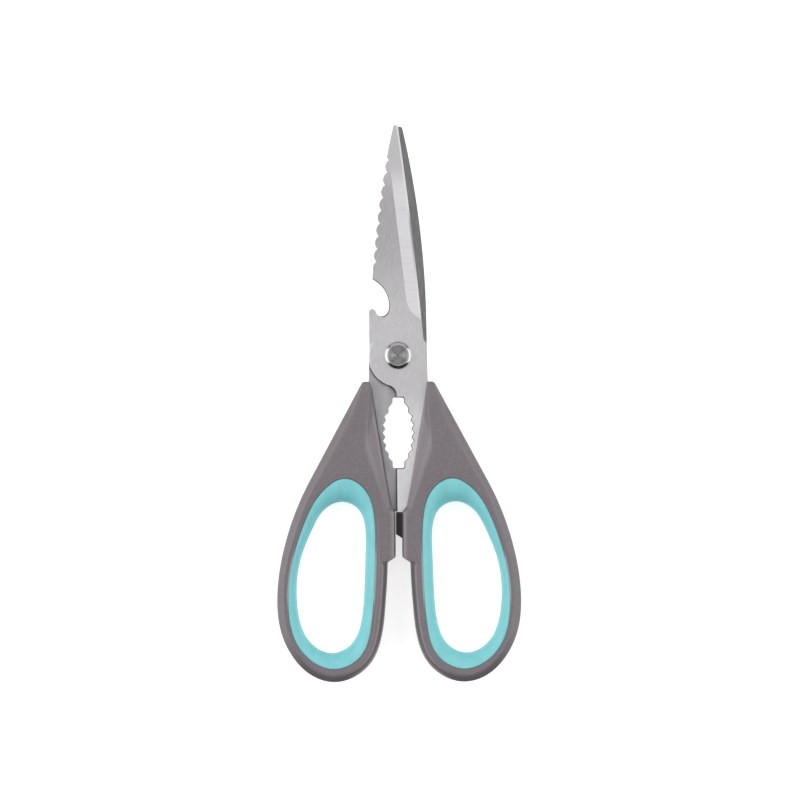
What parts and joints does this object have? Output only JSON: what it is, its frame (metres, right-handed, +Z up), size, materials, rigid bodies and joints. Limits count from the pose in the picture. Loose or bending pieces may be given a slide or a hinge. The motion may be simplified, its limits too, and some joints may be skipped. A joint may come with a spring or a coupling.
{
  "type": "kitchen shears",
  "caption": "Closed kitchen shears with scalloped and plain steel blades on a domed rivet, nutcracker jaws, bottle opener and soft-lined finger loops.",
  "frame": {"origin": "centre of the underside, halfway along the length and halfway across the handles", "axes": "+Y from the handles to the blade tips, +Z up out of the front face, +X to the right handle"},
  "size_m": [0.092, 0.21, 0.0125],
  "materials": {
    "blade_steel": "fine lengthwise brushing, bright ground bevel along the edge",
    "rivet_steel": "turned face with fine rings and a polished shoulder",
    "handle_plastic": "fine moulded texture, warm grey",
    "soft_grip": "smooth satin, light blue-green",
    "bumper_rubber": "matt, near black"
  },
  "bodies": {
    "rear_half": {"rear_blade": "blade_steel", "pivot_rivet": "rivet_steel", "rivet_washer": "rivet_steel", "left_handle": "handle_plastic", "left_grip": "soft_grip"},
    "front_half": {"front_blade": "blade_steel", "right_handle": "handle_plastic", "right_grip": "soft_grip", "stop_bumper": "bumper_rubber"}
  },
  "joints": [
    {"name": "pivot", "type": "hinge", "parent": "rear_half", "child": "front_half", "pos_m": [0, 0.01805, 0.00625], "axis": [0, 0, 1], "range_deg": [0, 75]}
  ]
}
